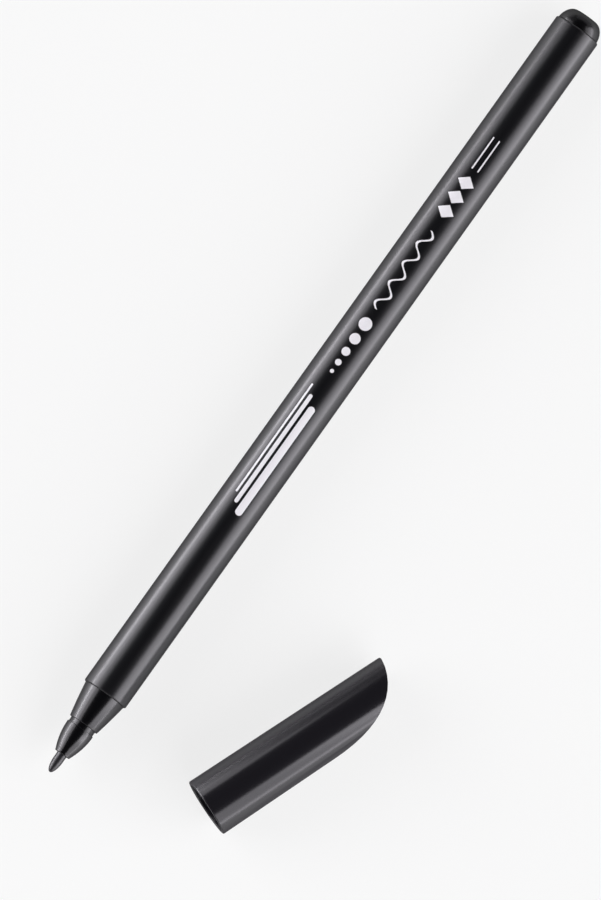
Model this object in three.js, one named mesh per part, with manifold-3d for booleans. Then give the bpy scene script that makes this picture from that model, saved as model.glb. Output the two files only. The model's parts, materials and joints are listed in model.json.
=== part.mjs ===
import * as THREE from "three";
import { mergeVertices } from "three/addons/utils/BufferGeometryUtils.js";
import Module from "manifold-3d";

// A slim fibre-tip pen, uncapped, lying on a table with its cap beside it. Millimetres, +Z up.
// Each piece is turned about its own Y axis. On the pen, Y is 0 at the barrel's mouth and grows
// towards the tail, so the nose and nib are below 0. On the cap, Y is 0 at the mouth.

// Barrel: a plain moulded tube with ribs inside that hold the reservoir off the wall
const barrelRadius = 4.15;
const barrelWall = 0.7;
const barrelLength = 136.1;
const barrelEdge = 0.3;
const barrelRibs = 4;
const barrelRibHeight = 0.25;
const barrelRibWidth = 0.6;

// Seats at both ends of the barrel, where the nose section and the tail plug snap in
const seatStep = 0.12;
const pressFit = 0.05;
const faceGap = 0.04;
const beadHeight = 0.12;
const beadWidth = 0.9;

// Nose section: convex cone, neck and bullet outside the barrel, spigot inside it
const coneLength = 6.1;
const coneSetback = 0.32;
const coneFrontRadius = 2.72;
const coneSwell = 0.1;
const neckLength = 0.85;
const neckDepth = 0.17;
const bulletLength = 5.25;
const bulletRadius = 2.55;
const bulletTipWall = 0.5;
const bulletEdge = 0.15;
const spigotLength = 9;
const spigotWall = 0.8;
const spigotBeadPlace = 4.5;
const noseWall = 0.75;
const noseFins = 4;
const finWidth = 0.5;
const ventCount = 4;
const ventWidth = 0.8;
const ventDepth = 0.3;

// Nib: a round fibre rod with a bullet point, pushed back into the reservoir
const nibRadius = 0.9;
const nibExposed = 3.6;
const nibPointLength = 2.6;
const nibTailInReservoir = 8;
const nibTailBevel = 0.3;

// Reservoir: a fibre rod rolled up in a plastic film whose edge laps over its start
const filmThickness = 0.12;
const filmLap = THREE.MathUtils.degToRad(35);
const filmShortBy = 0.6;
const reservoirBevel = 0.25;

// Tail plug: a low dome with a flat end, and a hollow spigot inside the barrel
const plugSetback = 0.3;
const plugHeight = 2.65;
const plugFlatRadius = 1.95;
const plugSpigotLength = 7;
const plugWall = 0.9;
const plugBeadPlace = 3.2;
const plugNotches = 4;
const plugNotchWidth = 1.4;
const plugNotchDepth = 1.5;

// Cap shell: tapers away from its mouth and ends in a slanted face that curves into one side
const capGrip = 11.5;
const capTipRoom = 10.7;
const capWall = 0.75;
const capTaper = 0.3;
const capRimEdge = 0.2;
const capRibs = 6;
const capRibHeight = 0.25;
const capRibWidth = 0.7;
const capRibStart = 1.4;
const capRibRamp = 0.8;
const capStopStep = 0.25;
const capEndThickening = 1.4;
const faceLean = THREE.MathUtils.degToRad(12);
const scoopLength = 15.6;
const capTipRound = 0.35;
const capVentWidth = 1.4;
const capVentLength = 3.4;
const capVentPlace = 1.9;

// Inner seal: a cup held between the cap's ribs, which closes round the bullet
const sealWall = 0.7;
const sealFlangeWidth = 0.45;
const sealFlangeThick = 0.8;
const sealBandLength = 3;
const sealEndRoom = 0.7;
const sealMouthFlare = 0.35;

// How the pen and the cap lie: the angle between them, and the nib's place seen from the cap's mouth
const penTurn = THREE.MathUtils.degToRad(20.9);
const nibFromCapMouth = new THREE.Vector2(-18.3, 19.4);

// Smoothness
const sides = 40;
const nibSides = 20;
const curveSteps = 7;

// Sizes that follow from the ones above
const bore = barrelRadius - barrelWall;
const seatRadius = bore + seatStep;
const spigotRadius = seatRadius - pressFit;
const noseLength = coneLength + neckLength + bulletLength;
const coneBaseRadius = barrelRadius - coneSetback;
const nibBore = nibRadius + pressFit;
const bulletTipRadius = nibBore + bulletTipWall;
const nibTip = -(noseLength + nibExposed);
const reservoirStart = spigotLength + faceGap;
const reservoirEnd = barrelLength - plugSpigotLength - faceGap;
const filmOuter = bore - barrelRibHeight - pressFit;
const filmPitch = filmThickness + faceGap / 2;
const filmInner = filmOuter - filmThickness - filmPitch * (1 + filmLap / (2 * Math.PI));
const coreRadius = filmInner - faceGap;
const plugBaseRadius = barrelRadius - plugSetback;
const capRibTip = barrelRadius + pressFit;
const capBore = capRibTip + capRibHeight;
const capMouthRadius = capBore + capWall;
const capTipRadius = capMouthRadius - capTaper;
const capLength = capGrip - nibTip + capTipRoom;
const capStopTip = capRibTip - capStopStep;
const sealBore = bulletRadius + pressFit;
const sealOuter = sealBore + sealWall;
const sealStart = capGrip + coneLength + neckLength - sealFlangeThick;
const sealBandEnd = sealStart + sealFlangeThick + sealBandLength;
const sealCupEnd = capGrip - nibTip + sealEndRoom;
const sealPointRadius = bulletTipRadius;

const wasm = await Module();
wasm.setup();

// A closed geometry as a solid that can be cut and joined
function toSolid(geometry) {
  const bare = geometry.clone();
  bare.deleteAttribute("normal");
  bare.deleteAttribute("uv");
  const merged = mergeVertices(bare);
  const mesh = new wasm.Mesh({
    numProp: 3,
    vertProperties: merged.attributes.position.array,
    triVerts: new Uint32Array(merged.index.array),
  });
  return new wasm.Manifold(mesh);
}

// A solid as a mesh with its own name and material
function toMesh(name, solid, material) {
  const { numProp, vertProperties, triVerts } = solid.getMesh();
  const geometry = new THREE.BufferGeometry();
  geometry.setAttribute("position", new THREE.BufferAttribute(vertProperties, numProp));
  geometry.setIndex(new THREE.BufferAttribute(triVerts, 1));
  const loose = geometry.toNonIndexed();
  loose.computeVertexNormals();
  const mesh = new THREE.Mesh(loose, material);
  mesh.name = name;
  return mesh;
}

// A profile of radius and height, turned about Y, with a flat side facing up and one facing down
function turned(profile, count = sides) {
  return toSolid(new THREE.LatheGeometry(profile.getPoints(curveSteps), count, Math.PI / count));
}

// An outline in X and Y, extruded by the same amount to each side of the XY plane
function slab(outline, halfWidth) {
  const geometry = new THREE.ExtrudeGeometry(outline, {
    depth: 2 * halfWidth,
    bevelEnabled: false,
    curveSegments: 2 * curveSteps,
  });
  return toSolid(geometry.translate(0, 0, -halfWidth));
}

// A copy of a solid turned about Y by an angle
function turnedCopy(solid, angle) {
  return solid.rotate([0, THREE.MathUtils.radToDeg(angle), 0]);
}

// A rectangle from one radius to another and from one height to another
function rectangle(inner, outer, low, high) {
  const outline = new THREE.Shape();
  outline.moveTo(inner, low);
  outline.lineTo(outer, low);
  outline.lineTo(outer, high);
  outline.lineTo(inner, high);
  outline.closePath();
  return outline;
}

// Adds a pattern of solids round the Y axis to a solid, or cuts it away
function joinAround(solid, feature, count) {
  let result = solid;
  for (let i = 0; i < count; i++) result = result.add(turnedCopy(feature, (2 * Math.PI * i) / count));
  return result;
}

function cutAround(solid, feature, count) {
  let result = solid;
  for (let i = 0; i < count; i++) {
    result = result.subtract(turnedCopy(feature, (2 * Math.PI * i) / count));
  }
  return result;
}

// Barrel: the snap grooves in its two seats take the beads of the nose section and the tail plug
function makeBarrel() {
  const edge = barrelEdge;
  const grooveRadius = seatRadius + beadHeight;
  const halfGroove = beadWidth / 2 + pressFit;
  const frontSeatEnd = spigotLength + pressFit;
  const rearSeatStart = barrelLength - plugSpigotLength - pressFit;
  const frontGroove = spigotBeadPlace;
  const rearGroove = barrelLength - plugBeadPlace;
  const profile = new THREE.Path();
  profile.moveTo(barrelRadius - edge, 0);
  profile.quadraticCurveTo(barrelRadius, 0, barrelRadius, edge);
  profile.lineTo(barrelRadius, barrelLength - edge);
  profile.quadraticCurveTo(barrelRadius, barrelLength, barrelRadius - edge, barrelLength);
  profile.lineTo(seatRadius, barrelLength);
  profile.lineTo(seatRadius, rearGroove + halfGroove);
  profile.lineTo(grooveRadius, rearGroove);
  profile.lineTo(seatRadius, rearGroove - halfGroove);
  profile.lineTo(seatRadius, rearSeatStart);
  profile.lineTo(bore, rearSeatStart);
  profile.lineTo(bore, frontSeatEnd);
  profile.lineTo(seatRadius, frontSeatEnd);
  profile.lineTo(seatRadius, frontGroove + halfGroove);
  profile.lineTo(grooveRadius, frontGroove);
  profile.lineTo(seatRadius, frontGroove - halfGroove);
  profile.lineTo(seatRadius, 0);
  profile.closePath();
  const inWall = bore + barrelWall / 2;
  const rib = rectangle(bore - barrelRibHeight, inWall, frontSeatEnd, rearSeatStart);
  return joinAround(turned(profile), slab(rib, barrelRibWidth / 2), barrelRibs);
}

// Nose section: the nib runs through its bullet and between the fins of the chamber behind it
function makeNoseSection() {
  const front = -noseLength;
  const neckFront = -(coneLength + neckLength);
  const neckRadius = bulletRadius - neckDepth;
  const chamberRadius = neckRadius - noseWall;
  const chamberFront = -coneLength;
  const chamberBack = -coneLength / 4;
  const finEnd = spigotLength / 2;
  const spigotBore = spigotRadius - spigotWall;
  const halfBead = beadWidth / 2;
  const middle = (coneBaseRadius + coneFrontRadius) / 2;
  const profile = new THREE.Path();
  profile.moveTo(nibBore, front);
  profile.lineTo(bulletTipRadius - bulletEdge, front);
  profile.quadraticCurveTo(bulletTipRadius, front, bulletTipRadius, front + bulletEdge);
  profile.quadraticCurveTo(bulletRadius, front + bulletLength / 2, bulletRadius, neckFront);
  profile.lineTo(neckRadius, neckFront);
  profile.lineTo(neckRadius, -coneLength);
  profile.lineTo(coneFrontRadius, -coneLength);
  profile.quadraticCurveTo(middle + coneSwell, -coneLength / 2, coneBaseRadius, -faceGap);
  profile.lineTo(spigotRadius, -faceGap);
  profile.lineTo(spigotRadius, spigotBeadPlace - halfBead);
  profile.lineTo(spigotRadius + beadHeight, spigotBeadPlace);
  profile.lineTo(spigotRadius, spigotBeadPlace + halfBead);
  profile.lineTo(spigotRadius, spigotLength - seatStep * 2);
  profile.lineTo(spigotRadius - seatStep * 2, spigotLength);
  profile.lineTo(spigotBore, spigotLength);
  profile.lineTo(spigotBore, 0);
  profile.lineTo(chamberRadius, chamberBack);
  profile.lineTo(chamberRadius, chamberFront);
  profile.lineTo(nibBore, chamberFront - neckLength);
  profile.closePath();
  const fin = new THREE.Shape();
  fin.moveTo(nibBore, chamberFront);
  fin.lineTo(chamberRadius + noseWall / 2, chamberFront);
  fin.lineTo(chamberRadius + noseWall / 2, chamberBack);
  fin.lineTo(spigotBore + spigotWall / 2, 0);
  fin.lineTo(spigotBore + spigotWall / 2, finEnd);
  fin.lineTo(nibBore, finEnd);
  fin.closePath();
  const vent = rectangle(spigotRadius - ventDepth, spigotRadius + barrelWall, faceGap, spigotLength + 1);
  const finned = joinAround(turned(profile), slab(fin, finWidth / 2), noseFins);
  const quarter = turnedCopy(slab(vent, ventWidth / 2), Math.PI / ventCount);
  return cutAround(finned, quarter, ventCount);
}

// Nib: half an ellipse for its point, and a bevelled tail
function makeNib() {
  const tail = reservoirStart + nibTailInReservoir;
  const shoulder = nibTip + nibPointLength;
  const profile = new THREE.Path();
  profile.moveTo(0, nibTip);
  profile.absellipse(0, shoulder, nibRadius, nibPointLength, -Math.PI / 2, 0, false, 0);
  profile.lineTo(nibRadius, tail - nibTailBevel);
  profile.lineTo(nibRadius - nibTailBevel, tail);
  profile.lineTo(0, tail);
  return turned(profile, nibSides);
}

// Reservoir core: a fibre rod with a socket where the nib is pushed in
function makeReservoirCore() {
  const bevel = reservoirBevel;
  const socket = nibRadius + pressFit;
  const socketEnd = reservoirStart + nibTailInReservoir + pressFit;
  const profile = new THREE.Path();
  profile.moveTo(0, socketEnd);
  profile.lineTo(socket, socketEnd);
  profile.lineTo(socket, reservoirStart + bevel);
  profile.lineTo(socket + bevel, reservoirStart);
  profile.lineTo(coreRadius - bevel, reservoirStart);
  profile.lineTo(coreRadius, reservoirStart + bevel);
  profile.lineTo(coreRadius, reservoirEnd - bevel);
  profile.lineTo(coreRadius - bevel, reservoirEnd);
  profile.lineTo(0, reservoirEnd);
  return turned(profile);
}

// Reservoir film: one sheet rolled into a spiral of a little over one turn
function makeReservoirFilm() {
  const turns = 1 + filmLap / (2 * Math.PI);
  const steps = Math.round(sides * turns);
  const spiral = (i, offset) => {
    const angle = (2 * Math.PI * turns * i) / steps;
    const radius = filmInner + offset + (filmPitch * angle) / (2 * Math.PI);
    return new THREE.Vector2(radius * Math.cos(angle), radius * Math.sin(angle));
  };
  const points = [];
  for (let i = 0; i <= steps; i++) points.push(spiral(i, filmThickness));
  for (let i = steps; i >= 0; i--) points.push(spiral(i, 0));
  const length = reservoirEnd - reservoirStart - 2 * filmShortBy;
  const roll = new THREE.ExtrudeGeometry(new THREE.Shape(points), { depth: length, bevelEnabled: false });
  roll.rotateX(-Math.PI / 2);
  roll.translate(0, reservoirStart + filmShortBy, 0);
  return toSolid(roll);
}

// Tail plug: notches in the end of its spigot let air past the reservoir
function makeTailPlug() {
  const face = barrelLength + plugHeight;
  const seat = barrelLength + faceGap;
  const start = barrelLength - plugSpigotLength;
  const beadPlace = barrelLength - plugBeadPlace;
  const cup = spigotRadius - plugWall;
  const cupEnd = face - plugWall * 1.6;
  const profile = new THREE.Path();
  profile.moveTo(cup, start);
  profile.lineTo(spigotRadius - seatStep * 2, start);
  profile.lineTo(spigotRadius, start + seatStep * 2);
  profile.lineTo(spigotRadius, beadPlace - beadWidth / 2);
  profile.lineTo(spigotRadius + beadHeight, beadPlace);
  profile.lineTo(spigotRadius, beadPlace + beadWidth / 2);
  profile.lineTo(spigotRadius, seat);
  profile.lineTo(plugBaseRadius, seat);
  profile.bezierCurveTo(
    plugBaseRadius,
    seat + plugHeight * 0.45,
    plugFlatRadius + (plugBaseRadius - plugFlatRadius) * 0.55,
    face,
    plugFlatRadius,
    face,
  );
  profile.lineTo(0, face);
  profile.lineTo(0, cupEnd);
  profile.lineTo(cup - plugWall, cupEnd);
  profile.lineTo(cup, cupEnd - plugWall);
  profile.closePath();
  const notch = rectangle(cup / 2, spigotRadius + 1, start - 1, start + plugNotchDepth);
  return cutAround(turned(profile), slab(notch, plugNotchWidth / 2), plugNotches);
}

// Everything beyond the cap's slanted end, seen from the side. The face leans back from the tip and
// is one curve that runs into the side at +X. A wall gives the same end moved inwards, for the hollow.
function beyondCapEnd(wall) {
  const reach = capMouthRadius * 2;
  const tipRadius = capTipRadius - wall;
  const tip = capLength - (capEndThickening * wall) / Math.cos(faceLean);
  const sideRadius = (height) => capMouthRadius - wall - (capTaper * height) / capLength;
  const faceHeight = (x) => tip - (x + tipRadius) * Math.tan(faceLean);
  const scoopStart = capLength - scoopLength - 2 * wall;
  const cornerHeight = faceHeight(tipRadius);
  const outline = new THREE.Shape();
  outline.moveTo(-reach, tip - capTipRound);
  outline.lineTo(-tipRadius, tip - capTipRound);
  outline.quadraticCurveTo(-tipRadius, tip, capTipRound - tipRadius, faceHeight(capTipRound - tipRadius));
  outline.quadraticCurveTo(sideRadius(cornerHeight), cornerHeight, sideRadius(scoopStart), scoopStart);
  outline.lineTo(reach, scoopStart);
  outline.lineTo(reach, tip + reach);
  outline.lineTo(-reach, tip + reach);
  outline.closePath();
  return slab(outline, reach);
}

// Cap shell: ribs grip the barrel, step in to stop it, and step in again to hold the inner seal
function makeCapShell() {
  const edge = capRimEdge;
  const outside = new THREE.Path();
  outside.moveTo(0, 0);
  outside.lineTo(capMouthRadius - edge, 0);
  outside.quadraticCurveTo(capMouthRadius, 0, capMouthRadius, edge);
  outside.lineTo(capTipRadius, capLength);
  outside.lineTo(0, capLength);
  const boreTip = capTipRadius - capWall;
  const inside = new THREE.Path();
  inside.moveTo(0, -1);
  inside.lineTo(capBore + edge, -1);
  inside.lineTo(capBore + edge, 0);
  inside.lineTo(capBore, edge);
  inside.lineTo(boreTip, capLength);
  inside.lineTo(0, capLength);
  const hollow = turned(inside).subtract(beyondCapEnd(capWall));
  const inWall = capBore + capWall / 2;
  const sealRibTip = sealOuter + pressFit;
  const sealRibStart = sealStart + sealFlangeThick + faceGap;
  const rib = new THREE.Shape();
  rib.moveTo(inWall, capRibStart);
  rib.lineTo(capBore, capRibStart);
  rib.lineTo(capRibTip, capRibStart + capRibRamp);
  rib.lineTo(capRibTip, capGrip + faceGap);
  rib.lineTo(capStopTip, capGrip + faceGap);
  rib.lineTo(capStopTip, sealRibStart);
  rib.lineTo(sealRibTip, sealRibStart);
  rib.lineTo(sealRibTip, sealBandEnd + sealBandLength);
  rib.lineTo(inWall, sealBandEnd + sealBandLength * 2);
  rib.closePath();
  const channel = cutAround(hollow, slab(rib, capRibWidth / 2), capRibs);
  const vent = rectangle(
    -capVentPlace - capVentWidth / 2,
    -capVentPlace + capVentWidth / 2,
    sealCupEnd + sealWall * 2,
    capLength + 1,
  );
  const body = turned(outside).subtract(beyondCapEnd(0));
  return body.subtract(channel).subtract(slab(vent, capVentLength / 2));
}

// Inner seal: a flanged cup that narrows from the band round the bullet to the end round the nib
function makeInnerSeal() {
  const flange = sealOuter + sealFlangeWidth;
  const bandStart = sealStart + sealFlangeThick;
  const narrow = sealPointRadius + sealWall;
  const bulletFront = capGrip + noseLength;
  const profile = new THREE.Path();
  profile.moveTo(sealBore + sealMouthFlare, sealStart);
  profile.lineTo(flange, sealStart);
  profile.lineTo(flange, bandStart);
  profile.lineTo(sealOuter, bandStart);
  profile.lineTo(sealOuter, sealBandEnd);
  profile.lineTo(narrow, bulletFront);
  profile.lineTo(narrow, sealCupEnd);
  profile.quadraticCurveTo(narrow, sealCupEnd + sealWall, narrow - sealWall, sealCupEnd + sealWall);
  profile.lineTo(0, sealCupEnd + sealWall);
  profile.lineTo(0, sealCupEnd);
  profile.lineTo(sealPointRadius, sealCupEnd);
  profile.lineTo(sealPointRadius, bulletFront);
  profile.lineTo(sealBore, sealBandEnd);
  profile.lineTo(sealBore, bandStart);
  profile.closePath();
  return turned(profile);
}

// Plastics and fibres
function plastic(colour, roughness) {
  return new THREE.MeshStandardMaterial({ color: colour, roughness, metalness: 0 });
}

const pen = new THREE.Group();
pen.add(
  toMesh("barrel", makeBarrel(), plastic(0x17171a, 0.3)),
  toMesh("nose_section", makeNoseSection(), plastic(0x131316, 0.25)),
  toMesh("nib", makeNib(), plastic(0x2a2a2c, 0.8)),
  toMesh("reservoir_core", makeReservoirCore(), plastic(0x202024, 0.95)),
  toMesh("reservoir_film", makeReservoirFilm(), plastic(0xc9ccd0, 0.35)),
  toMesh("tail_plug", makeTailPlug(), plastic(0x0f0f11, 0.2)),
);

const cap = new THREE.Group();
cap.add(
  toMesh("cap_shell", makeCapShell(), plastic(0x1b1b1f, 0.25)),
  toMesh("cap_inner_seal", makeInnerSeal(), plastic(0xd8d8d4, 0.5)),
);

// The cap lies along X with its slanted face turned away from the pen. Its taper tips it a little,
// until the whole of its lowest side is on the table.
const flatRadius = Math.cos(Math.PI / sides);
const capTip = Math.atan((capTaper * flatRadius) / (capLength - capRimEdge));
cap.rotation.set(0, capTip, -Math.PI / 2, "YZX");
pen.rotation.z = penTurn - Math.PI / 2;
const along = new THREE.Vector2(Math.cos(penTurn), Math.sin(penTurn)).multiplyScalar(-nibTip);
pen.position.set(nibFromCapMouth.x + along.x, nibFromCapMouth.y + along.y, 0);

// Lets a group down until its lowest point is at height 0
function restOnTable(group) {
  group.updateMatrixWorld(true);
  group.position.z -= new THREE.Box3().setFromObject(group, true).min.z;
}
restOnTable(pen);
restOnTable(cap);

// The origin is on the table, at the middle of the space that the pen and the cap take up
const markerPen = new THREE.Group();
markerPen.add(pen, cap);
const middle = new THREE.Box3().setFromObject(markerPen, true).getCenter(new THREE.Vector3());
markerPen.position.set(-middle.x, -middle.y, 0);

export default markerPen;
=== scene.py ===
import json
import math

import bmesh
import bpy
from mathutils import Matrix, Vector
from mathutils.geometry import interpolate_bezier


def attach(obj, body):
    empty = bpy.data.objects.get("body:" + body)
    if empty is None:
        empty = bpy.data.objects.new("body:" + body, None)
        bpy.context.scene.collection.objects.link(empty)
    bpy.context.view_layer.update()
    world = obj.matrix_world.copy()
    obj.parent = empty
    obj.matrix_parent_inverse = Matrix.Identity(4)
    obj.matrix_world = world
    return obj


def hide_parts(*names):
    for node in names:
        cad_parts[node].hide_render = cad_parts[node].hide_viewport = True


# A slim fibre-tip marker pen, lying uncapped with its cap beside it. Pieces are modelled in
# millimetres about their own Z axis and then carried to their places in the frame, in metres.
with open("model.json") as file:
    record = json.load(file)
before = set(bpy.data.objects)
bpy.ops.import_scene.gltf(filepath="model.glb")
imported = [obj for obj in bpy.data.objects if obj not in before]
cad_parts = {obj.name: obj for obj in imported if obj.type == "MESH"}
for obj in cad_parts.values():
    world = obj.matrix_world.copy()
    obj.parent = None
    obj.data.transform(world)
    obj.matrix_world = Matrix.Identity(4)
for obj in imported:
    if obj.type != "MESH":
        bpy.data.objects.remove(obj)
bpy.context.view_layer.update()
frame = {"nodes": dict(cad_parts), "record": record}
mm = 0.001

# Camera: almost straight above, far off behind a long lens. It leans towards the cap's mouth, so that
# it looks a little way into it, and is turned so that the cap points up to the right.
lens_mm = 1000
sensor_mm = 36
long_side_px = 900
pixels_per_mm = 6.016
cap_slope = math.radians(33.6)
camera_lean = math.radians(4.9)
camera_aim = Vector((-8.05, 4.75, 4.0)) * mm

camera_data = bpy.data.cameras.new("camera")
camera_data.lens = lens_mm
camera_data.sensor_width = sensor_mm
camera = bpy.data.objects.new("camera", camera_data)
bpy.context.scene.collection.objects.link(camera)
bpy.context.scene.camera = camera
back = Vector((-math.sin(camera_lean), 0, math.cos(camera_lean)))
level = Vector((math.cos(camera_lean), 0, math.sin(camera_lean)))
table_y = Vector((0, 1, 0))
right = math.cos(cap_slope) * level - math.sin(cap_slope) * table_y
up = math.sin(cap_slope) * level + math.cos(cap_slope) * table_y
camera_distance = lens_mm / sensor_mm * long_side_px / pixels_per_mm * mm
camera_turn = Matrix((right, up, back)).transposed().to_4x4()
camera.matrix_world = Matrix.Translation(camera_aim + camera_distance * back) @ camera_turn

# Floor: a wide sheet of matt white board. Part of its brightness is its own, so that the shadows on it
# stay light; the lamps give the rest.
floor_size = 12.0
floor_colour = (0.19, 0.195, 0.186, 1)
floor_shade = (0.18, 0.185, 0.176, 1)
floor_glow = 0.77
floor_cloud_scale = 6

floor_shape = bmesh.new()
bmesh.ops.create_grid(floor_shape, x_segments=2, y_segments=2, size=floor_size / 2)
floor_mesh = bpy.data.meshes.new("floor")
floor_shape.to_mesh(floor_mesh)
floor_shape.free()
floor = bpy.data.objects.new("floor", floor_mesh)
bpy.context.scene.collection.objects.link(floor)
board = bpy.data.materials.new("white_board")
board.use_nodes = True
nodes, links = board.node_tree.nodes, board.node_tree.links
matt = nodes["Principled BSDF"]
where = nodes.new("ShaderNodeTexCoord")
clouds = nodes.new("ShaderNodeTexNoise")
clouds.inputs["Scale"].default_value = floor_cloud_scale
tint = nodes.new("ShaderNodeMix")
tint.data_type = "RGBA"
tint.inputs["A"].default_value = floor_shade
tint.inputs["B"].default_value = floor_colour
links.new(where.outputs["Object"], clouds.inputs["Vector"])
links.new(clouds.outputs["Fac"], tint.inputs["Factor"])
links.new(tint.outputs["Result"], matt.inputs["Base Color"])
matt.inputs["Roughness"].default_value = 1.0
matt.inputs["Specular IOR Level"].default_value = 0.0
path = nodes.new("ShaderNodeLightPath")
seen = nodes.new("ShaderNodeMath")
seen.operation = "ADD"
links.new(path.outputs["Is Camera Ray"], seen.inputs[0])
links.new(path.outputs["Is Glossy Ray"], seen.inputs[1])
seen_through = nodes.new("ShaderNodeMath")
seen_through.operation = "ADD"
seen_through.use_clamp = True
links.new(seen.outputs["Value"], seen_through.inputs[0])
links.new(path.outputs["Is Transmission Ray"], seen_through.inputs[1])
glow = nodes.new("ShaderNodeMath")
glow.operation = "MULTIPLY"
glow.inputs[1].default_value = floor_glow
links.new(seen_through.outputs["Value"], glow.inputs[0])
matt.inputs["Emission Color"].default_value = (1, 1, 1, 1)
links.new(glow.outputs["Value"], matt.inputs["Emission Strength"])
floor_mesh.materials.append(board)

# Lamps: wide soft boxes along each side of the pen, strong near the table and weaker higher up, with
# weak ones behind the cap and at the pen's ends, and none overhead. Their angles are seen from the
# pen: degrees round the table from +X, and degrees up from it.
lamp_reach = 2.2
lamp_colour = (0.965, 0.94, 1.0)
world_glow = 0.02


def soft_box(name, around, heights, radiance):
    """A lamp that faces the pen and fills two spans of angles, one round the table and one up."""
    lamp = bpy.data.lights.new(name, "AREA")
    lamp.shape = "RECTANGLE"
    lamp.color = lamp_colour
    lamp.size = 2 * lamp_reach * math.tan(math.radians(around[1] - around[0]) / 2)
    lamp.size_y = 2 * lamp_reach * math.tan(math.radians(heights[1] - heights[0]) / 2)
    lamp.energy = radiance * math.pi * lamp.size * lamp.size_y
    turn = math.radians(sum(around) / 2)
    lift = math.radians(sum(heights) / 2)
    towards = Vector((math.cos(lift) * math.cos(turn), math.cos(lift) * math.sin(turn), math.sin(lift)))
    box = bpy.data.objects.new(name, lamp)
    bpy.context.scene.collection.objects.link(box)
    box.location = lamp_reach * towards
    box.rotation_euler = towards.to_track_quat("Z", "Y").to_euler()
    box.visible_camera = False


soft_box("left_edge", (97, 154), (0, 8), 16.5)
soft_box("left_low", (97, 154), (8, 30), 5.0)
soft_box("left_high", (97, 154), (30, 48), 2.1)
soft_box("behind_cap_low", (60, 97), (0, 14), 0.65)
soft_box("behind_cap", (60, 97), (14, 40), 0.2)
soft_box("right_edge", (-80, -22), (0, 8), 4.5)
soft_box("right_low", (-80, -22), (8, 18), 7)
soft_box("right_middle", (-80, -22), (18, 36), 4.2)
soft_box("right_high", (-80, -22), (36, 52), 2.1)
soft_box("before_cap_low", (-118, -80), (0, 12), 4.6)
soft_box("before_cap", (-118, -80), (12, 50), 2.4)
soft_box("tail_end", (-12, 54), (2, 30), 0.6)
soft_box("nib_end", (168, 234), (2, 30), 0.6)

world = bpy.data.worlds.new("studio")
world.use_nodes = True
ambient = world.node_tree.nodes["Background"]
ambient.inputs["Color"].default_value = (1, 1, 1, 1)
ambient.inputs["Strength"].default_value = world_glow
bpy.context.scene.world = world
bpy.context.scene.view_settings.view_transform = "Standard"

# Barrel: a plain round tube, injection moulded in satin black plastic. Both mouths have a seat,
# a little wider than the bore, with a groove that the nose section or the tail plug snaps into.
barrel_radius = 4.15
barrel_length = 136.1
barrel_bore = 3.45
barrel_edge = 0.3
seat_radius = 3.57
front_seat = 9.05
rear_seat = 7.05
front_groove = 4.5
rear_groove = 3.2
groove_depth = 0.12
groove_width = 1.0
plug_height = 2.65
turn_steps = 128
edge_steps = 4
merge_distance = 1e-4
sharp_angle = math.radians(38)
gloss_change = 0.15
flow_stretch = (1.2, 1.2, 0.05)
flow_scale = 1.5
flow_detail = 4
grain_scale = 6
grain_detail = 3


def turned(outline, steps=turn_steps):
    """An outline of (radius, height, rounding) corners, spun about the Z axis into a solid."""
    shape = bmesh.new()
    corners = [shape.verts.new((radius, 0, height)) for radius, height, _ in outline]
    for pair in zip(corners, corners[1:]):
        shape.edges.new(pair)
    if outline[0][0] > 0:
        shape.edges.new((corners[-1], corners[0]))
    for corner, (_, _, rounding) in zip(corners, outline):
        if rounding:
            bmesh.ops.bevel(
                shape,
                geom=[corner],
                offset=rounding,
                segments=edge_steps,
                profile=0.5,
                affect="VERTICES",
                material=-1,
            )
    bmesh.ops.spin(
        shape,
        geom=shape.verts[:] + shape.edges[:],
        cent=(0, 0, 0),
        axis=(0, 0, 1),
        angle=2 * math.pi,
        steps=steps,
        use_merge=True,
    )
    bmesh.ops.remove_doubles(shape, verts=shape.verts, dist=merge_distance)
    bmesh.ops.recalc_face_normals(shape, faces=shape.faces)
    return shape


def lying(start, axis):
    """Carries a piece modelled about Z to its place: Z along the axis, Y up and X to the left."""
    along = Vector(axis).normalized()
    upright = (Vector((0, 0, 1)) - along.z * along).normalized()
    sideways = upright.cross(along)
    turn = Matrix((sideways, upright, along)).transposed().to_4x4()
    return Matrix.Translation(start) @ turn @ Matrix.Scale(mm, 4)


def add_piece(name, shape, place, material):
    """The finished mesh in its place, smooth except at its edges."""
    shape.transform(place)
    mesh = bpy.data.meshes.new(name)
    shape.to_mesh(mesh)
    shape.free()
    mesh.shade_smooth()
    mesh.set_sharp_from_angle(angle=sharp_angle)
    mesh.materials.append(material)
    piece = bpy.data.objects.new(name, mesh)
    bpy.context.scene.collection.objects.link(piece)
    return piece


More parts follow.
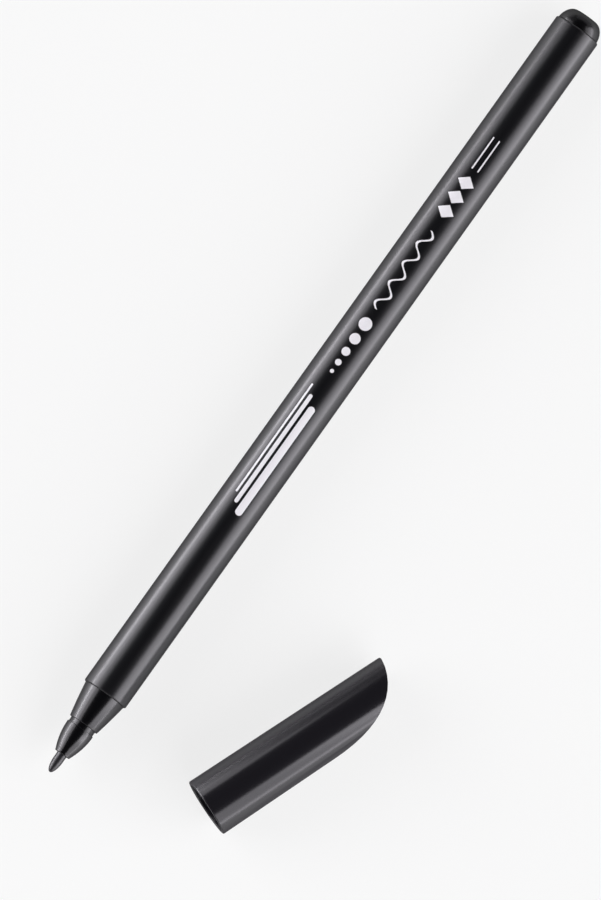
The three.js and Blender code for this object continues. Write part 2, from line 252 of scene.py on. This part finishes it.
def pen_finish(
    name, place, colour, roughness, grain, ior=1.59, dull=0.7, slants=(0.25, 0.7), mottle=0.2
):
    """A fine grain, faint marks along the piece, and a gloss that varies and gets dull at a slant."""
    material = bpy.data.materials.new(name)
    material.use_nodes = True
    nodes, links = material.node_tree.nodes, material.node_tree.links
    surface = nodes["Principled BSDF"]
    surface.inputs["IOR"].default_value = ior
    where = nodes.new("ShaderNodeTexCoord")
    lined_up = nodes.new("ShaderNodeMapping")
    lined_up.vector_type = "TEXTURE"
    lined_up.inputs["Location"].default_value = place.to_translation()
    lined_up.inputs["Rotation"].default_value = place.to_euler()
    lined_up.inputs["Scale"].default_value = (mm, mm, mm)
    links.new(where.outputs["Object"], lined_up.inputs["Vector"])
    stretched = nodes.new("ShaderNodeMapping")
    stretched.inputs["Scale"].default_value = flow_stretch
    links.new(lined_up.outputs["Vector"], stretched.inputs["Vector"])
    flow = nodes.new("ShaderNodeTexNoise")
    flow.inputs["Scale"].default_value = flow_scale
    flow.inputs["Detail"].default_value = flow_detail
    links.new(stretched.outputs["Vector"], flow.inputs["Vector"])
    grains = nodes.new("ShaderNodeTexNoise")
    grains.inputs["Scale"].default_value = grain_scale
    grains.inputs["Detail"].default_value = grain_detail
    links.new(lined_up.outputs["Vector"], grains.inputs["Vector"])
    shine = nodes.new("ShaderNodeMapRange")
    shine.inputs["To Min"].default_value = roughness * (1 - gloss_change)
    shine.inputs["To Max"].default_value = roughness * (1 + gloss_change)
    links.new(flow.outputs["Fac"], shine.inputs["Value"])
    slant = nodes.new("ShaderNodeLayerWeight")
    dulling = nodes.new("ShaderNodeMapRange")
    dulling.inputs["From Min"].default_value = slants[0]
    dulling.inputs["From Max"].default_value = slants[1]
    dulling.inputs["To Max"].default_value = dull
    links.new(slant.outputs["Facing"], dulling.inputs["Value"])
    gloss = nodes.new("ShaderNodeMath")
    gloss.operation = "ADD"
    gloss.use_clamp = True
    links.new(shine.outputs["Result"], gloss.inputs[0])
    links.new(dulling.outputs["Result"], gloss.inputs[1])
    links.new(gloss.outputs["Value"], surface.inputs["Roughness"])
    shade = nodes.new("ShaderNodeMix")
    shade.data_type = "RGBA"
    shade.inputs["A"].default_value = (*[part * (1 - mottle) for part in colour], 1)
    shade.inputs["B"].default_value = (*[part * (1 + mottle) for part in colour], 1)
    links.new(grains.outputs["Fac"], shade.inputs["Factor"])
    links.new(shade.outputs["Result"], surface.inputs["Base Color"])
    bump = nodes.new("ShaderNodeBump")
    bump.inputs["Strength"].default_value = 1
    bump.inputs["Distance"].default_value = grain * mm
    links.new(grains.outputs["Fac"], bump.inputs["Height"])
    links.new(bump.outputs["Normal"], surface.inputs["Normal"])
    return material


mounts = {mount["name"]: mount for mount in frame["record"]["mounts"]}
pen_axis = Vector(mounts["tail_face"]["axis"]).normalized()
barrel_mouth = Vector(mounts["tail_face"]["pos_m"]) - (barrel_length + plug_height) * mm * pen_axis
on_pen = lying(barrel_mouth, pen_axis)

rear_seat_start = barrel_length - rear_seat
rear_groove_place = barrel_length - rear_groove
half_groove = groove_width / 2
barrel = add_piece(
    "barrel_tube",
    turned([
        (seat_radius, 0, 0),
        (barrel_radius, 0, barrel_edge),
        (barrel_radius, barrel_length, barrel_edge),
        (seat_radius, barrel_length, 0),
        (seat_radius, rear_groove_place + half_groove, 0),
        (seat_radius + groove_depth, rear_groove_place, 0),
        (seat_radius, rear_groove_place - half_groove, 0),
        (seat_radius, rear_seat_start, 0),
        (barrel_bore, rear_seat_start, 0),
        (barrel_bore, front_seat, 0),
        (seat_radius, front_seat, 0),
        (seat_radius, front_groove + half_groove, 0),
        (seat_radius + groove_depth, front_groove, 0),
        (seat_radius, front_groove - half_groove, 0),
    ]),
    on_pen,
    pen_finish(
        "satin_barrel_black",
        on_pen,
        colour=(0.0025, 0.0026, 0.0034),
        roughness=0.3,
        grain=0.002,
    ),
)
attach(barrel, "pen")
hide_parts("barrel")

# Print: white ink, screen printed along the top of the barrel while it turns. It has plain marks like
# those that a pen draws: bars of three widths, growing dots, a wavy line, lozenges and two fine lines.
print_side = 0.5
ink_sunk = 0.01
ink_thickness = 0.025
slice_width = 0.2
slice_tolerance = 1e-5
disc_corners = 32
bars_start = 36.8
bar_length = 22.0
bar_gap = 0.45
bar_widths = (1.3, 0.7, 0.35)
bar_step = 1.6
dots_start = 65.2
dot_radii = (0.35, 0.55, 0.75, 0.95, 1.15)
dot_gap = 0.9
wave_start = 78.2
wave_length = 16.0
wave_height = 0.85
wave_thickness = 0.42
wave_count = 4
wave_steps = 24
lozenges_start = 97.0
lozenge_length = 2.5
lozenge_height = 3.2
lozenge_count = 3
lozenge_gap = 0.4
lines_start = 106.6
line_length = 6.4
line_width = 0.26
line_gap = 0.9
line_corners = 12


def oval(along, across, radius, length=0.0, corners=disc_corners):
    """A flat disc or, where it has a length, a bar with round ends, in its place along and across."""
    shape = bmesh.new()
    bmesh.ops.create_circle(shape, cap_ends=True, segments=corners, radius=radius)
    far_end = [corner for corner in shape.verts if corner.co.x > 0]
    bmesh.ops.translate(shape, verts=far_end, vec=(length, 0, 0))
    bmesh.ops.translate(shape, verts=shape.verts, vec=(along + radius, across, 0))
    return shape


def printed(marks):
    """Flat marks, along the pen and across it, given their thickness and bent round the barrel."""
    shape = bmesh.new()
    for mark in marks:
        sheet = bpy.data.meshes.new("mark")
        mark.to_mesh(sheet)
        mark.free()
        shape.from_mesh(sheet)
        bpy.data.meshes.remove(sheet)
    slices = int(max(abs(corner.co.y) for corner in shape.verts) / slice_width)
    for number in range(-slices, slices + 1):
        bmesh.ops.bisect_plane(
            shape,
            geom=shape.verts[:] + shape.edges[:] + shape.faces[:],
            dist=slice_tolerance,
            plane_co=(0, number * slice_width, 0),
            plane_no=(0, 1, 0),
        )
    bmesh.ops.translate(shape, verts=shape.verts, vec=(0, 0, -ink_sunk))
    skin = bmesh.ops.extrude_face_region(shape, geom=shape.faces[:])["geom"]
    raised = [item for item in skin if isinstance(item, bmesh.types.BMVert)]
    bmesh.ops.translate(shape, verts=raised, vec=(0, 0, ink_sunk + ink_thickness))
    for corner in shape.verts:
        along, across, height = corner.co
        angle = across / barrel_radius
        radius = barrel_radius + height
        corner.co = (radius * math.sin(angle), radius * math.cos(angle), along)
    bmesh.ops.recalc_face_normals(shape, faces=shape.faces)
    return shape


marks = []
across = print_side - (sum(bar_widths) + bar_gap * (len(bar_widths) - 1)) / 2
for number, width in enumerate(bar_widths):
    across += width / 2
    marks.append(oval(bars_start + number * bar_step, across, width / 2, bar_length - width))
    across += width / 2 + bar_gap
along = dots_start
for radius in dot_radii:
    marks.append(oval(along, print_side, radius))
    along += 2 * radius + dot_gap

# The wavy line is a strip one unit long and wide, stretched and swung to and fro. A lozenge is a disc
# with four corners, one unit across, stretched to its size.
wave = bmesh.new()
bmesh.ops.create_grid(wave, x_segments=wave_steps * wave_count, y_segments=1, size=0.5)
for corner in wave.verts:
    swing = wave_height * math.sin(2 * math.pi * wave_count * corner.co.x)
    corner.co.x = wave_start + (corner.co.x + 0.5) * wave_length
    corner.co.y = print_side + corner.co.y * wave_thickness + swing
marks.append(wave)
for number in range(lozenge_count):
    lozenge = oval(0, 0, 0.5, corners=4)
    bmesh.ops.scale(lozenge, verts=lozenge.verts, vec=(lozenge_length, lozenge_height, 1))
    along = lozenges_start + number * (lozenge_length + lozenge_gap)
    bmesh.ops.translate(lozenge, verts=lozenge.verts, vec=(along, print_side, 0))
    marks.append(lozenge)
for side in (-1, 1):
    middle = print_side + side * (line_gap + line_width) / 2
    marks.append(oval(lines_start, middle, line_width / 2, line_length - line_width, line_corners))
barrel_print = add_piece(
    "barrel_print",
    printed(marks),
    on_pen,
    pen_finish(
        "white_print_ink",
        on_pen,
        colour=(0.82, 0.82, 0.82),
        roughness=0.5,
        grain=0.003,
        dull=0.2,
        mottle=0.06,
    ),
)
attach(barrel_print, "pen")

# Nose section: one glossy black moulding that snaps into the barrel's mouth. Outside are its convex
# cone, a neck and the bullet that holds the nib, and inside a spigot with a snap bead round it.
cone_length = 6.1
cone_front_radius = 2.72
cone_base_radius = 3.83
cone_swell = 0.1
neck_length = 0.85
neck_radius = 2.38
bullet_length = 5.25
bullet_radius = 2.55
bullet_tip_radius = 1.45
bullet_land = 0.15
cone_land = 0.1
cone_land_rise = 0.02
nib_bore = 0.95
spigot_radius = 3.52
spigot_bore = 2.72
spigot_length = 9.0
spigot_round = 0.2
bead_height = 0.12
bead_width = 0.9
chamber_radius = 1.63
face_gap = 0.04
nose_edge = 0.08
bow_steps = 14


def bow(start, control, end):
    """Corners on a curve from start to end that leaves and arrives towards one control point."""
    knots = [Vector((*point, 0)) for point in (start, control, end)]
    first = knots[0].lerp(knots[1], 2 / 3)
    last = knots[2].lerp(knots[1], 2 / 3)
    curve = interpolate_bezier(knots[0], first, last, knots[2], bow_steps)
    return [(point.x, point.y, 0) for point in curve]


nose_front = -(cone_length + neck_length + bullet_length)
neck_front = -(cone_length + neck_length)
bullet_middle = nose_front + bullet_length / 2
cone_middle = (cone_base_radius + cone_front_radius) / 2
chamber_rear = -cone_length / 4
half_bead = bead_width / 2
nose = add_piece(
    "nose_moulding",
    turned([
        (nib_bore, nose_front, nose_edge / 2),
        (bullet_tip_radius, nose_front, nose_edge),
        *bow(
            (bullet_tip_radius, nose_front + bullet_land),
            (bullet_radius, bullet_middle),
            (bullet_radius, neck_front),
        )[:-1],
        (bullet_radius, neck_front, nose_edge),
        (neck_radius, neck_front, 0),
        (neck_radius, -cone_length, 0),
        (cone_front_radius, -cone_length, nose_edge),
        *bow(
            (cone_front_radius + cone_land_rise, -cone_length + cone_land),
            (cone_middle + cone_swell, -cone_length / 2),
            (cone_base_radius, -face_gap),
        )[1:],
        (spigot_radius, -face_gap, 0),
        (spigot_radius, front_groove - half_bead, 0),
        (spigot_radius + bead_height, front_groove, 0),
        (spigot_radius, front_groove + half_bead, 0),
        (spigot_radius, spigot_length, spigot_round),
        (spigot_bore, spigot_length, 0),
        (spigot_bore, 0, 0),
        (chamber_radius, chamber_rear, 0),
        (chamber_radius, -cone_length, 0),
        (nib_bore, neck_front, 0),
    ]),
    on_pen,
    pen_finish(
        "glossy_nose_black",
        on_pen,
        colour=(0.0015, 0.0015, 0.002),
        roughness=0.2,
        grain=0.001,
        slants=(0.2, 0.6),
    ),
)
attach(nose, "pen")
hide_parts("nose_section")

# Nib: a rod of hard bonded fibre, ground to a bullet point and soaked with ink. It is pushed through
# the nose section into the reservoir behind it.
nib_radius = 0.9
nib_exposed = 3.6
nib_point = 2.6
nib_tail = 17.04
nib_bevel = 0.3
nib_turn_steps = 64
point_steps = 16

nib_front = nose_front - nib_exposed
point_angles = [math.pi / 2 * step / point_steps for step in range(point_steps)]
nib = add_piece(
    "nib_rod",
    turned(
        [
            (nib_radius * math.sin(angle), nib_front + nib_point * (1 - math.cos(angle)), 0)
            for angle in point_angles
        ]
        + [(nib_radius, nib_front + nib_point, 0), (nib_radius, nib_tail, nib_bevel), (0, nib_tail, 0)],
        steps=nib_turn_steps,
    ),
    on_pen,
    pen_finish("inked_fibre", on_pen, colour=(0.012, 0.012, 0.014), roughness=0.35, grain=0.01),
)
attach(nib, "pen")
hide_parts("nib")

# Reservoir: a soft rod of fibre full of ink, rolled up in a clear film. Neither shows on the closed
# pen, so both stay as they are made in the frame.
ink_wick = pen_finish("inked_wick", on_pen, colour=(0.02, 0.02, 0.024), roughness=0.9, grain=0.02)
film_wrap = pen_finish(
    "film_wrap",
    on_pen,
    colour=(0.75, 0.76, 0.78),
    roughness=0.3,
    grain=0.002,
    mottle=0.04,
)
frame["nodes"]["reservoir_core"].data.materials[0] = ink_wick
frame["nodes"]["reservoir_film"].data.materials[0] = film_wrap

# Tail plug: a low dome with a flat end, moulded in glossy black. Its hollow spigot has a snap bead
# like the nose section's.
plug_base_radius = 3.85
plug_flat_radius = 1.95
plug_spigot_length = 7.0
plug_wall = 0.9
plug_end_wall = 1.44
dome_side_share = 0.45
dome_top_share = 0.55

plug_face = barrel_length + plug_height
plug_seat = barrel_length + face_gap
plug_cup = spigot_radius - plug_wall
plug_cup_end = plug_face - plug_end_wall
plug_start = barrel_length - plug_spigot_length
dome_side = plug_seat + dome_side_share * plug_height
dome_top = plug_flat_radius + dome_top_share * (plug_base_radius - plug_flat_radius)
dome = interpolate_bezier(
    Vector((plug_base_radius, plug_seat, 0)),
    Vector((plug_base_radius, dome_side, 0)),
    Vector((dome_top, plug_face, 0)),
    Vector((plug_flat_radius, plug_face, 0)),
    bow_steps,
)
plug = add_piece(
    "plug_moulding",
    turned([
        (0, plug_cup_end, 0),
        (plug_cup - plug_wall, plug_cup_end, 0),
        (plug_cup, plug_cup_end - plug_wall, 0),
        (plug_cup, plug_start, 0),
        (spigot_radius, plug_start, spigot_round),
        (spigot_radius, rear_groove_place - half_bead, 0),
        (spigot_radius + bead_height, rear_groove_place, 0),
        (spigot_radius, rear_groove_place + half_bead, 0),
        (spigot_radius, plug_seat, 0),
        *[(point.x, point.y, 0) for point in dome],
        (0, plug_face, 0),
    ]),
    on_pen,
    pen_finish(
        "glossy_plug_black",
        on_pen,
        colour=(0.0015, 0.0015, 0.0018),
        roughness=0.24,
        grain=0.001,
        ior=1.46,
    ),
)
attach(plug, "pen")
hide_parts("tail_plug")

# Cap shell: a clipless cap moulded in dark glossy plastic. It tapers from its mouth and ends in a
# face that leans back and curves into one side. Inside, six ribs grip the barrel, step in to stop it,
# and step in again to hold the inner seal.
cap_mouth_radius = 5.2
cap_tip_radius = 4.9
cap_length = 38.0
cap_wall = 0.75
cap_bore = 4.45
cap_edge = 0.2
cap_grip = 11.5
face_lean = math.radians(12)
scoop_length = 15.6
tip_round = 0.35
end_thickening = 1.4
scoop_thickening = 2.0
rib_count = 6
rib_width = 0.7
rib_start = 1.4
rib_ramp = 0.8
rib_tip = 4.2
stop_tip = 3.95
seal_rib_tip = 3.35
seal_rib_start = 18.49
seal_band_end = 21.45
seal_band_length = 3.0
vent_place = 1.9
vent_width = 1.4
vent_length = 3.4
vent_start = 29.4
rim_mount_radius = 4.8
cutter_overshoot = 1.0
sliver = 0.002


def slab(outline, half_width):
    """An outline of X and Z corners, made a solid that reaches as far to each side of Y 0."""
    shape = bmesh.new()
    shape.faces.new([shape.verts.new((x, -half_width, z)) for x, z in outline])
    sheet = bmesh.ops.extrude_face_region(shape, geom=shape.faces[:])["geom"]
    moved = [item for item in sheet if isinstance(item, bmesh.types.BMVert)]
    bmesh.ops.translate(shape, verts=moved, vec=(0, 2 * half_width, 0))
    bmesh.ops.recalc_face_normals(shape, faces=shape.faces)
    return shape


def cut_away(shape, cutter):
    """What is left of a solid when another is cut away from it."""
    solids = []
    for solid in (shape, cutter):
        mesh = bpy.data.meshes.new("cut")
        solid.to_mesh(mesh)
        solid.free()
        solids.append(bpy.data.objects.new("cut", mesh))
        bpy.context.scene.collection.objects.link(solids[-1])
    cut = solids[0].modifiers.new("cut", "BOOLEAN")
    cut.operation = "DIFFERENCE"
    cut.solver = "EXACT"
    cut.object = solids[1]
    graph = bpy.context.evaluated_depsgraph_get()
    left = bmesh.new()
    left.from_mesh(solids[0].evaluated_get(graph).to_mesh())
    for solid in solids:
        bpy.data.meshes.remove(solid.data)
    return left


def beyond_end(wall):
    """Everything past the cap's leaning end, moved inwards by a wall."""
    reach = 2 * cap_mouth_radius
    tip_radius = cap_tip_radius - wall
    tip = cap_length - end_thickening * wall / math.cos(face_lean)
    taper = (cap_mouth_radius - cap_tip_radius) / cap_length
    lean = math.tan(face_lean)
    scoop_start = cap_length - scoop_length - scoop_thickening * wall
    side_radius = cap_mouth_radius - wall - taper * scoop_start
    corner_height = tip - 2 * tip_radius * lean
    corner_radius = cap_mouth_radius - wall - taper * corner_height
    on_face = (tip_radius - tip_round, tip - tip_round * lean)
    outline = [
        (reach, tip - tip_round),
        *bow((tip_radius, tip - tip_round), (tip_radius, tip), on_face),
        *bow(on_face, (-corner_radius, corner_height), (-side_radius, scoop_start))[1:],
        (-reach, scoop_start),
        (-reach, tip + reach),
        (reach, tip + reach),
    ]
    return slab([point[:2] for point in outline], reach)


bore_tip = cap_tip_radius - cap_wall
hollow = turned([
    (0, -cutter_overshoot, 0),
    (cap_bore + cap_edge, -cutter_overshoot, 0),
    (cap_bore + cap_edge, 0, 0),
    (cap_bore, cap_edge, 0),
    (bore_tip, cap_length, 0),
    (0, cap_length, 0),
])
hollow = cut_away(hollow, beyond_end(cap_wall))

# The ribs are cut from the hollow, so they are left standing when the hollow is cut from the shell.
in_wall = cap_bore + cap_wall / 2
for number in range(rib_count):
    rib = slab(
        [
            (in_wall, rib_start),
            (cap_bore, rib_start),
            (rib_tip, rib_start + rib_ramp),
            (rib_tip, cap_grip),
            (stop_tip, cap_grip),
            (stop_tip, seal_rib_start),
            (seal_rib_tip, seal_rib_start),
            (seal_rib_tip, seal_band_end + seal_band_length),
            (in_wall, seal_band_end + 2 * seal_band_length),
        ],
        rib_width / 2,
    )
    rib.transform(Matrix.Rotation(2 * math.pi * number / rib_count, 4, "Z"))
    hollow = cut_away(hollow, rib)
vent_left = vent_place - vent_width / 2
vent_right = vent_place + vent_width / 2
vent_end = cap_length + cutter_overshoot
vent = slab(
    [(vent_left, vent_start), (vent_right, vent_start), (vent_right, vent_end), (vent_left, vent_end)],
    vent_length / 2,
)
shell = turned([
    (0, 0, 0),
    (cap_mouth_radius, 0, cap_edge),
    (cap_tip_radius, cap_length, 0),
    (0, cap_length, 0),
])
for cutter in (beyond_end(0), hollow, vent):
    shell = cut_away(shell, cutter)
bmesh.ops.remove_doubles(shell, verts=shell.verts, dist=sliver)

cap_axis = -Vector(mounts["cap_rim"]["axis"]).normalized()
rim_point = Vector(mounts["cap_rim"]["pos_m"])
on_cap = lying(rim_point + Vector((0, rim_mount_radius * mm, 0)), cap_axis)
cap = add_piece(
    "cap_moulding",
    shell,
    on_cap,
    pen_finish(
        "glossy_cap_black",
        on_cap,
        colour=(0.009, 0.0085, 0.0105),
        roughness=0.2,
        grain=0.0015,
        ior=1.53,
    ),
)
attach(cap, "cap")
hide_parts("cap_shell")

# Inner seal: a soft white cup with a flange, pushed in past the cap's ribs, which closes round the
# nose section's bullet.
seal_start = 17.65
seal_flange_radius = 3.75
seal_flange = 0.8
seal_outer = 3.3
seal_bore = 2.6
seal_flare = 0.35
seal_narrow_start = 23.7
seal_narrow = 2.15
seal_narrow_bore = 1.45
seal_cup_end = 28.0
seal_wall = 0.7
seal_edge = 0.1
seal_end_round = 0.5

seal = add_piece(
    "seal_cup",
    turned([
        (0, seal_cup_end, 0),
        (seal_narrow_bore, seal_cup_end, 0),
        (seal_narrow_bore, seal_narrow_start, 0),
        (seal_bore, seal_band_end, 0),
        (seal_bore, seal_start + seal_flange, 0),
        (seal_bore + seal_flare, seal_start, seal_edge),
        (seal_flange_radius, seal_start, seal_edge),
        (seal_flange_radius, seal_start + seal_flange, seal_edge),
        (seal_outer, seal_start + seal_flange, 0),
        (seal_outer, seal_band_end, 0),
        (seal_narrow, seal_narrow_start, 0),
        (seal_narrow, seal_cup_end + seal_wall, seal_end_round),
        (0, seal_cup_end + seal_wall, 0),
    ]),
    on_cap,
    pen_finish(
        "soft_seal_white",
        on_cap,
        colour=(0.68, 0.68, 0.65),
        roughness=0.5,
        grain=0.004,
        dull=0.3,
        mottle=0.04,
    ),
)
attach(seal, "cap")
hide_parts("cap_inner_seal")
